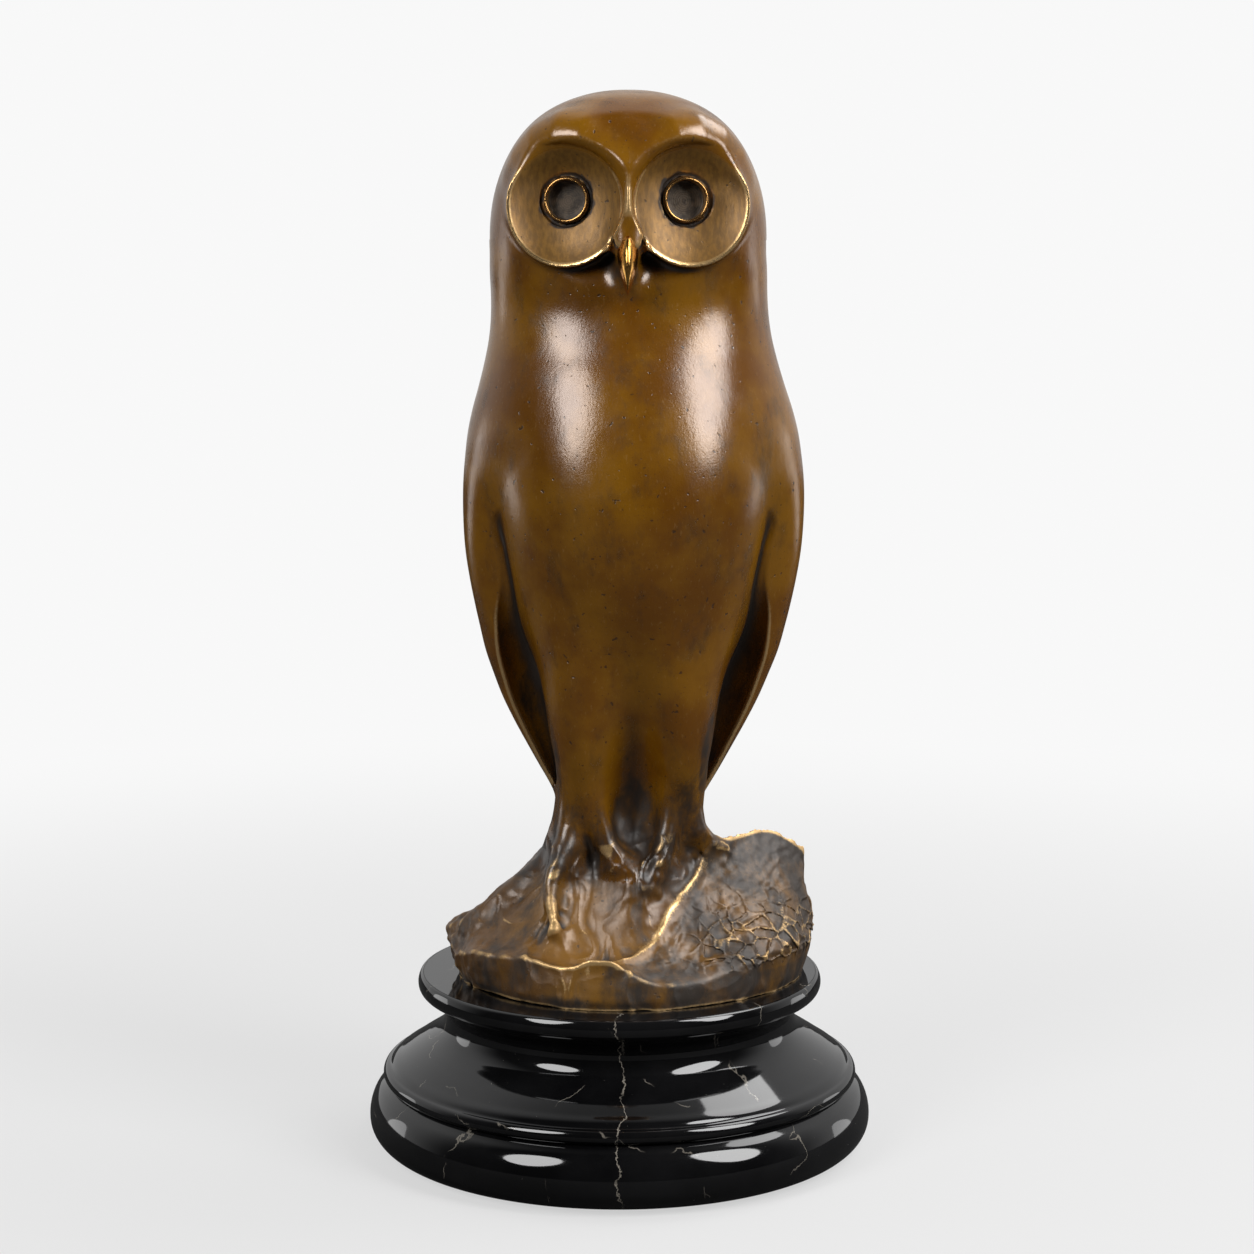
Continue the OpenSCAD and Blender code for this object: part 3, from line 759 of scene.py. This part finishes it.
class Sheet:
    """A small helper round one material's node tree."""

    def __init__(self, name):
        self.material = bpy.data.materials.new(name)
        self.material.use_nodes = True
        self.tree = self.material.node_tree
        self.tree.nodes.clear()
        self.shader = self.add("ShaderNodeBsdfPrincipled")
        out = self.add("ShaderNodeOutputMaterial")
        self.link(self.shader, "BSDF", out, "Surface")
        self.place = self.add("ShaderNodeTexCoord").outputs["Object"]

    def add(self, kind, **values):
        node = self.tree.nodes.new(kind)
        for key, value in values.items():
            setattr(node, key, value)
        return node

    def link(self, a, out, b, into):
        self.tree.links.new(a.outputs[out], b.inputs[into])

    def feed(self, socket, value):
        if isinstance(value, bpy.types.NodeSocket):
            self.tree.links.new(value, socket)
        else:
            socket.default_value = value

    def mark(self, name):
        return self.add("ShaderNodeAttribute", attribute_name=name).outputs["Fac"]

    def scaled(self, scale, turn=(0, 0, 0)):
        node = self.add("ShaderNodeMapping")
        self.feed(node.inputs["Vector"], self.place)
        node.inputs["Scale"].default_value = scale
        node.inputs["Rotation"].default_value = turn
        return node.outputs["Vector"]

    def speckle(self, size, detail=4.0, rough=0.55, place=None):
        """Noise with features of about size millimetres."""
        node = self.add("ShaderNodeTexNoise")
        self.feed(node.inputs["Vector"], place or self.place)
        node.inputs["Scale"].default_value = 1 / (size * MM)
        node.inputs["Detail"].default_value = detail
        node.inputs["Roughness"].default_value = rough
        return node.outputs["Fac"]

    def span(self, value, low, high, out_low=0.0, out_high=1.0):
        node = self.add("ShaderNodeMapRange", interpolation_type="SMOOTHSTEP")
        self.feed(node.inputs["Value"], value)
        set_range(node, low, high, out_low, out_high)
        return node.outputs["Result"]

    def maths(self, operation, a, b=0.0):
        node = self.add("ShaderNodeMath", operation=operation)
        self.feed(node.inputs[0], a)
        self.feed(node.inputs[1], b)
        return node.outputs[0]

    def times(self, a, b):
        return self.maths("MULTIPLY", a, b)

    def plus(self, a, b):
        return self.maths("ADD", a, b)

    def blend(self, share, a, b):
        """Colour a where share is 0 and b where it is 1."""
        node = self.add("ShaderNodeMix", data_type="RGBA")
        self.feed(node.inputs[0], share)
        self.feed(node.inputs[6], a)
        self.feed(node.inputs[7], b)
        return node.outputs[2]

    def bump(self, height, depth, onto=None):
        node = self.add("ShaderNodeBump")
        node.inputs["Strength"].default_value = 1.0
        node.inputs["Distance"].default_value = depth * MM
        self.feed(node.inputs["Height"], height)
        if onto is not None:
            self.feed(node.inputs["Normal"], onto)
        return node.outputs["Normal"]

    def set(self, **values):
        names = {"colour": "Base Color", "metal": "Metallic", "roughness": "Roughness", "normal": "Normal",
                 "ior": "IOR", "specular": "Specular IOR Level"}
        for key, value in values.items():
            self.feed(self.shader.inputs[names[key]], value)
        return self.material


def rgb(red, green, blue):
    """A colour given as it looks on a screen, 0 to 255, as linear light."""
    line = [c / 255 for c in (red, green, blue)]
    return tuple(((c + 0.055) / 1.055) ** 2.4 if c > 0.04 else c / 12.92 for c in line) + (1.0,)


def bronze(name, body, deep, dark, bright, rough=0.2):
    """Waxed brown patina over bronze: dark in its hollows and creases, where painted shade is added; darker
    still under the mark of dark patina and painted shade; bright bare metal on its edges, mixed with painted
    highlights.
    """
    s = Sheet(name)
    cloud = s.speckle(22, 4.0, 0.55)
    patch = s.speckle(9, 6.0, 0.68, s.scaled((1, 1, 0.6)))
    fibre = s.speckle(0.7, 3.0, 0.6, s.scaled((1, 1, 0.4), (0.12, 0.4, 0)))
    grain = s.speckle(0.55, 3.0, 0.55)
    colour = s.blend(s.span(cloud, 0.36, 0.66), body, deep)
    colour = s.blend(s.times(s.span(patch, 0.5, 0.72), 0.45), colour, dark)
    colour = s.blend(s.times(s.span(fibre, 0.6, 0.72), 0.06), colour, bright)
    colour = s.blend(s.times(s.span(grain, 0.64, 0.74), 0.55), colour, dark)
    # Darker in hollows and creases: patina gathered there, and painted shade.
    hollow = s.span(s.plus(s.mark("hollow"), s.times(patch, 0.10)), 0.60, 0.76)
    colour = s.blend(hollow, colour, dark)
    crease = s.span(s.plus(s.mark("edge"), s.times(grain, 0.05)), 0.57, 0.68)
    colour = s.blend(crease, colour, dark)
    uneven = s.times(s.maths("SUBTRACT", patch, 0.5), 1.6)
    # Darker under the mark of dark patina and painted shade, made uneven.
    shade = s.span(s.plus(s.mark("patina_and_shade"), uneven), 0.25, 0.85)
    colour = s.blend(shade, colour, dark)
    # Bright metal on convex edges and under the bright mark: wear, and painted highlights.
    rubbed_and_highlit = s.span(s.plus(s.mark("edge"), s.times(grain, 0.06)), 0.45, 0.35)
    rubbed_and_highlit = s.times(rubbed_and_highlit, 0.75)
    wear_and_highlight = s.span(s.plus(s.mark("wear_and_highlight"), s.times(grain, -0.5)), 0.0, 0.45)
    rubbed_and_highlit = s.maths("MAXIMUM", rubbed_and_highlit, wear_and_highlight)
    brushed = s.mark("brushed")
    stroke = s.speckle(1.1, 4.0, 0.6, s.scaled((1, 1, 0.3), (0, 0.8, 0)))
    bowl = s.blend(s.span(stroke, 0.35, 0.65), rgb(142, 104, 43), rgb(112, 81, 33))
    colour = s.blend(s.times(s.maths("SUBTRACT", brushed, shade), 0.8), colour, bowl)
    pits = s.span(s.speckle(1.5, 1.0, 0.5), 0.71, 0.76)
    colour = s.blend(s.times(pits, 0.7), colour, dark)
    colour = s.blend(rubbed_and_highlit, colour, bright)
    metal = s.plus(s.times(rubbed_and_highlit, 0.8), 0.1)
    metal = s.plus(metal, s.times(brushed, 0.35))
    shine = s.span(patch, 0.3, 0.7, rough, rough + 0.10)
    dull = s.plus(shine, s.times(s.maths("MAXIMUM", hollow, crease), 0.2))
    dull = s.plus(dull, s.times(brushed, 0.24))
    dull = s.plus(dull, s.times(shade, 0.12))
    height = s.plus(s.times(fibre, 0.4), s.times(grain, 0.6))
    height = s.maths("SUBTRACT", height, s.times(pits, 0.8))
    height = s.plus(height, s.times(s.times(stroke, brushed), 0.9))
    normal = s.bump(height, 0.045, s.bump(patch, 0.10))
    return s.set(colour=colour, metal=metal, roughness=dull, normal=normal, ior=1.7)


def plain_metal(name, colour, dark, rough, grain=0.8):
    s = Sheet(name)
    wear = s.speckle(6, 5.0, 0.6)
    fine = s.speckle(grain, 3.0, 0.6)
    tone = s.blend(s.span(wear, 0.4, 0.7), colour, dark)
    return s.set(colour=tone, metal=1.0, roughness=s.span(fine, 0.3, 0.7, rough - 0.04, rough + 0.06),
                 normal=s.bump(fine, 0.03))


def eye_metal(lip, floor, dark):
    """Bronze cup with a bright lip and a dark floor that shows the turning tool's rings."""
    s = Sheet("eye_bronze")
    grain = s.speckle(0.5, 4.0, 0.65)
    smear = s.speckle(2.6, 5.0, 0.65)
    rings = s.add("ShaderNodeMath", operation="SINE")
    wave = s.times(s.mark("radius"), 11.0)
    s.feed(rings.inputs[0], s.plus(wave, s.times(smear, 5)))
    tone = s.blend(s.span(smear, 0.35, 0.65), floor, dark)
    tone = s.blend(s.times(s.span(rings.outputs[0], -1, 1), 0.35), tone, dark)
    tone = s.blend(s.mark("lip"), tone, lip)
    height = s.plus(s.times(rings.outputs[0], 0.12), grain)
    rough = s.span(s.mark("lip"), 0, 1, 0.55, 0.22)
    metal = s.span(s.mark("lip"), 0, 1, 0.2, 1.0)
    return s.set(colour=tone, metal=metal, roughness=rough, normal=s.bump(height, 0.06))


def polished_marble():
    """Polished black stone with thin pale veins and specks."""
    s = Sheet("polished_marble")
    tone = s.speckle(34, 6.0, 0.6)
    colour = s.blend(s.span(tone, 0.35, 0.7), rgb(7, 7, 8), rgb(20, 20, 21))
    wander = s.add("ShaderNodeTexNoise")
    s.feed(wander.inputs["Vector"], s.place)
    wander.inputs["Scale"].default_value = 1 / (26 * MM)
    wander.inputs["Detail"].default_value = 6.0
    bent = s.add("ShaderNodeMix", data_type="VECTOR")
    bent.inputs[0].default_value = 0.03
    s.feed(bent.inputs[4], s.place)
    s.feed(bent.inputs[5], wander.outputs["Color"])
    web = s.add("ShaderNodeTexVoronoi", feature="DISTANCE_TO_EDGE")
    s.feed(web.inputs["Vector"], bent.outputs[1])
    web.inputs["Scale"].default_value = 1 / (36 * MM)
    thin = s.span(web.outputs["Distance"], 0.0065, 0.001)
    gaps = s.span(s.speckle(11, 3.0, 0.6), 0.52, 0.62)
    vein = s.times(s.times(thin, gaps), 0.55)
    # the one long vein, down the front
    axes = s.add("ShaderNodeSeparateXYZ")
    s.feed(axes.inputs[0], s.place)
    wobble = s.times(s.maths("SUBTRACT", s.speckle(11, 5.0, 0.62), 0.5), 0.016)
    off = s.maths("ABSOLUTE", s.plus(axes.outputs["X"], wobble))
    line = s.span(off, 0.00034, 0.00008)
    line = s.times(line, s.maths("LESS_THAN", axes.outputs["Y"], 0.0))
    line = s.times(line, s.span(s.speckle(5, 2.0, 0.5), 0.40, 0.52, 0.15, 0.75))
    vein = s.maths("MAXIMUM", vein, line)
    colour = s.blend(vein, colour, rgb(150, 143, 132))
    dots = s.span(s.speckle(0.9, 1.0, 0.5), 0.79, 0.84)
    colour = s.blend(s.times(dots, 0.6), colour, rgb(120, 117, 110))
    return s.set(colour=colour, metal=0.0, roughness=0.06, ior=1.6)


def felt():
    s = Sheet("green_felt")
    fuzz = s.speckle(0.7, 6.0, 0.7)
    colour = s.blend(s.span(fuzz, 0.3, 0.7), rgb(20, 50, 34), rgb(38, 76, 54))
    return s.set(colour=colour, roughness=0.95, normal=s.bump(fuzz, 0.25))


# ---- turned pieces and the beak

def closed_solid(mesh, sharp):
    """Merges coinciding points, faces outwards, and shades edges over the sharp angle as edges."""
    work = bmesh.new()
    work.from_mesh(mesh)
    bmesh.ops.remove_doubles(work, verts=work.verts, dist=1e-7)
    bmesh.ops.recalc_face_normals(work, faces=work.faces)
    work.to_mesh(mesh)
    work.free()
    mesh.set_sharp_from_angle(angle=math.radians(sharp))


def turned(name, outline, material, steps, origin=(0, 0, 0), facing=(0, 0, 1), marks=None):
    """Closed solid turned from (radius, height) points round the facing direction."""
    turn = Vector((0, 0, 1)).rotation_difference(Vector(facing))
    points, faces = [], []
    count = len(outline)
    for k in range(steps):
        a = 2 * math.pi * k / steps
        for r, h in outline:
            points.append(Vector(origin) + turn @ Vector((r * math.cos(a), r * math.sin(a), h)))
    for k in range(steps):
        here, ahead = k * count, (k + 1) % steps * count
        faces += [(here + i, ahead + i, ahead + i + 1, here + i + 1) for i in range(count - 1)]
    values = {key: np.tile(column, steps) for key, column in (marks or {}).items()}
    piece = make_object(name, [tuple(p) for p in points], faces, material, None, values)
    closed_solid(piece.data, 38)
    return piece


def rounded(points, share=12):
    """Points of a smooth curve through (radius, height) pairs, by chord length."""
    p = np.array(points, float)
    along = np.concatenate([[0], np.cumsum(np.linalg.norm(np.diff(p, axis=0), axis=1))])
    t = np.linspace(0, along[-1], (len(p) - 1) * share + 1)
    pair = [spline(list(zip(along, p[:, a])), t) for a in (0, 1)]
    return list(zip(*(c.tolist() for c in pair)))


def marble(material):
    """The turned base: lip, neck, ogee, bead and foot."""
    top = [(54.9, 48), (55.6, 47.7), (56.1, 46.8), (56.4, 45.4), (56.2, 44.0), (55.5, 42.9), (54.3, 42.2),
           (52.8, 41.8)]
    neck = [(52.2, 41.6), (51.2, 40.4), (50.4, 39.2), (49.7, 38.0), (49.3, 37.1)]
    ogee = [(49.0, 36.9), (49.2, 35.0), (49.8, 33.2), (51.0, 31.6), (52.8, 30.1), (55.2, 28.5), (58.2, 26.6),
            (61.2, 24.6), (63.4, 23.1), (64.2, 22.2)]
    bead = [(64.5, 22.0), (65.5, 21.6), (66.2, 20.6), (66.25, 19.4), (65.6, 18.4), (64.6, 18.0)]
    foot = [(65.2, 17.6), (66.0, 16.9), (67.5, 15.6), (68.8, 13.8), (69.7, 11.6), (70.2, 8.6), (69.9, 5.6),
            (68.6, 3.2), (66.4, 1.5), (64.0, 1.0)]
    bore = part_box("stud")[1].x / MM - (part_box("stud")[0].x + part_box("stud")[1].x) / 2 / MM
    outline = [(bore, MARBLE_TOP), (40, MARBLE_TOP), (55.0, MARBLE_TOP)]
    for run in (top, neck, ogee, bead, foot):
        outline += rounded(run, 5)
    outline += [(40, 1.0), (bore, 1.0), (bore, MARBLE_TOP)]
    piece = turned("turned_marble", outline, material, 192)
    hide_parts("marble_base")


def eye_cup(name, side, material):
    """Turned cup with a rounded lip, seated in its socket."""
    centre, facing = eye_frame(side)
    lip = [(CUP_R - 0.02 + 0.33 * (math.cos(a) - 1) - 0.3, 0.78 + 0.36 * math.sin(a))
           for a in (math.radians(v) for v in range(-20, 201, 20))]
    outline = [(0, -2.5), (1.5, -2.52), (3.0, -2.5), (4.6, -2.46), (5.0, -2.2), (5.12, -1.2), (5.16, 0.3)]
    outline += lip[::-1] + [(CUP_R - 0.1, 0.2), (CUP_R - 0.05, -3.4), (0, -3.4)]
    bright = [0, 0, 0, 0, 0, 0.15, 0.7] + [1.0] * len(lip) + [0.6, 0, 0]
    marks = {"lip": bright, "radius": [r for r, _ in outline]}
    piece = turned(name, outline, material, 96, centre, facing, marks)
    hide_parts("eye_cup_left" if side < 0 else "eye_cup_right")


BEAK_KEENNESS = 1.61


def hooked_beak(material):
    """Narrow hooked beak with a keen ridge, lofted from level sections."""
    wide = [(0.0, 0.3), (0.05, 1.4), (0.16, 2.3), (0.32, 2.75), (0.52, 2.4), (0.75, 1.55), (0.92, 0.75),
            (1.0, 0.15)]
    fore = [(0.0, -35.0), (0.06, -36.7), (0.2, -38.6), (0.4, -39.8), (0.6, -39.9), (0.8, -39.0),
            (0.95, -37.6), (1.0, -36.9)]
    top, tip, back, middle = 250.6, 234.6, -32.0, FACE_X - 0.1
    rows, ring = 60, 33
    points = []
    for k in range(rows + 1):
        t = k / rows
        w = float(spline(wide, np.float64(t)))
        f = float(spline(fore, np.float64(t)))
        b = min(back, f + 6.2)
        for j in range(ring):
            u = 2 * j / (ring - 1) - 1
            lean = abs(u) ** BEAK_KEENNESS
            x = middle + w * math.sin(u * math.pi / 2)
            points.append((x, f + (b - f) * lean, top + (tip - top) * t))
    faces = [(k * ring + j, k * ring + j + 1, (k + 1) * ring + j + 1, (k + 1) * ring + j)
             for k in range(rows) for j in range(ring - 1)]
    faces += [(k * ring + ring - 1, k * ring, (k + 1) * ring, (k + 1) * ring + ring - 1)
              for k in range(rows)]
    faces += [tuple(range(ring - 1, -1, -1)), tuple(rows * ring + j for j in range(ring))]
    piece = make_object("hooked_beak", points, faces, material)
    closed_solid(piece.data, 50)
    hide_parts("beak")


# ---- build

# Colour of bare metal on edges, also used for painted highlights.
RUBBED_AND_HIGHLIGHT = rgb(240, 200, 140)
owl_bronze = bronze("owl_bronze", rgb(132, 88, 11), rgb(106, 64, 4), rgb(44, 34, 26), RUBBED_AND_HIGHLIGHT, 0.18)
rock_bronze = bronze("rock_bronze", rgb(130, 90, 26), rgb(98, 64, 16), rgb(48, 38, 29), RUBBED_AND_HIGHLIGHT, 0.36)
golden = plain_metal("golden_bronze", rgb(232, 176, 92), rgb(190, 134, 62), 0.2)
eye_bronze = eye_metal(rgb(206, 158, 96), rgb(98, 84, 68), rgb(48, 39, 30))
steel = plain_metal("fixing_steel", rgb(150, 150, 150), rgb(110, 108, 104), 0.35)

bronze_pieces(owl_bronze, rock_bronze)
marble(polished_marble())
eye_cup("left_eye", -1, eye_bronze)
eye_cup("right_eye", 1, eye_bronze)
hooked_beak(golden)
looks = {"eye_cup_left": eye_bronze, "eye_cup_right": eye_bronze, "beak": golden, "joint_sleeve": golden,
         "joint_pins": golden, "owl_casting": owl_bronze, "rock_casting": rock_bronze,
         "marble_base": polished_marble(), "felt_pad": felt()}
for node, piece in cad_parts.items():
    material = looks.get(node, steel)
    if not piece.material_slots:
        piece.data.materials.append(material)
    for holder in piece.material_slots:
        holder.material = material


# ---- stage, lights and camera

def softbox(name, azimuth, elevation, distance, size, power):
    """A soft lamp aimed at the owl's middle; azimuth 0 is straight in front."""
    lamp = bpy.data.lights.new(name, "AREA")
    lamp.shape = "ELLIPSE"
    lamp.size, lamp.size_y = size
    lamp.energy = power
    holder = bpy.data.objects.new(name, lamp)
    a, e = math.radians(azimuth), math.radians(elevation)
    target = Vector((0, 0, 0.17))
    way = Vector((math.sin(a) * math.cos(e), -math.cos(a) * math.cos(e), math.sin(e)))
    holder.location = target + distance * way
    holder.rotation_euler = (target - holder.location).to_track_quat("-Z", "Y").to_euler()
    bpy.context.scene.collection.objects.link(holder)


def white_world():
    """White for the camera; the object is lit by it darkly in front and palely behind."""
    world = bpy.data.worlds.new("studio")
    world.use_nodes = True
    tree = world.node_tree
    tree.nodes.clear()
    out = tree.nodes.new("ShaderNodeOutputWorld")
    mix = tree.nodes.new("ShaderNodeMixShader")
    seen = tree.nodes.new("ShaderNodeLightPath")
    dim = tree.nodes.new("ShaderNodeBackground")
    way = tree.nodes.new("ShaderNodeTexCoord")
    axes = tree.nodes.new("ShaderNodeSeparateXYZ")
    ramp = tree.nodes.new("ShaderNodeMapRange")
    ramp.interpolation_type = "SMOOTHSTEP"
    set_range(ramp, -0.2, 0.45, 0.02, 0.6)
    tree.links.new(way.outputs["Generated"], axes.inputs[0])
    tree.links.new(axes.outputs["Y"], ramp.inputs["Value"])
    tree.links.new(ramp.outputs["Result"], dim.inputs["Color"])
    white = tree.nodes.new("ShaderNodeBackground")
    white.inputs["Color"].default_value = PAPER
    tree.links.new(seen.outputs["Is Camera Ray"], mix.inputs["Fac"])
    tree.links.new(dim.outputs[0], mix.inputs[1])
    tree.links.new(white.outputs[0], mix.inputs[2])
    tree.links.new(mix.outputs[0], out.inputs["Surface"])
    bpy.context.scene.world = world


def floor():
    """Pale floor that keeps the object's shadow and fades into the white far off."""
    mesh = bpy.data.meshes.new("floor")
    size = 6.0
    corners = [(-size, -size, 0), (size, -size, 0), (size, size, 0), (-size, size, 0)]
    mesh.from_pydata(corners, [], [(0, 1, 2, 3)])
    sheet = bpy.data.objects.new("floor", mesh)
    bpy.context.scene.collection.objects.link(sheet)
    s = Sheet("pale_floor")
    s.set(colour=(0.05, 0.05, 0.05, 1), roughness=0.9, specular=0.1)
    out = [n for n in s.tree.nodes if n.bl_idname == "ShaderNodeOutputMaterial"][0]
    away = s.add("ShaderNodeVectorMath", operation="LENGTH")
    s.tree.links.new(s.place, away.inputs[0])
    lit = s.span(away.outputs["Value"], 0.08, 0.7, 0.62, 1.0)
    glow = s.add("ShaderNodeEmission")
    glow.inputs["Color"].default_value = PAPER
    pale = s.add("ShaderNodeBsdfDiffuse")
    pale.inputs["Color"].default_value = (0.5, 0.5, 0.5, 1)
    looked_at = s.add("ShaderNodeMixShader")
    s.tree.links.new(lit, looked_at.inputs["Fac"])
    s.link(pale, "BSDF", looked_at, 1)
    s.link(glow, "Emission", looked_at, 2)
    seen = s.add("ShaderNodeLightPath")
    mix = s.add("ShaderNodeMixShader")
    s.link(seen, "Is Camera Ray", mix, "Fac")
    s.link(s.shader, "BSDF", mix, 1)
    s.link(looked_at, "Shader", mix, 2)
    s.link(mix, "Shader", out, "Surface")
    mesh.materials.append(s.material)


softbox("softbox_left", -43, 29, 0.9, (0.40, 0.56), 4.8)
softbox("softbox_right", 57, 33, 0.9, (0.42, 0.74), 7.4)
softbox("softbox_high", 118, 52, 0.9, (0.7, 0.4), 3.5)
softbox("strip_left", -116, -12, 0.9, (0.26, 0.66), 0.7)
softbox("strip_right", 116, -12, 0.9, (0.26, 0.66), 0.7)
white_world()
floor()

camera_data = bpy.data.cameras.new("camera")
camera = bpy.data.objects.new("camera", camera_data)
camera_data.sensor_width = 36
camera_data.lens = 70.7
camera.location = (0.0021, -0.6767, 0.2239)
camera.rotation_euler = (math.radians(90 - 6.71), 0, 0)
bpy.context.scene.collection.objects.link(camera)
bpy.context.scene.camera = camera
bpy.context.scene.view_settings.view_transform = "Standard"
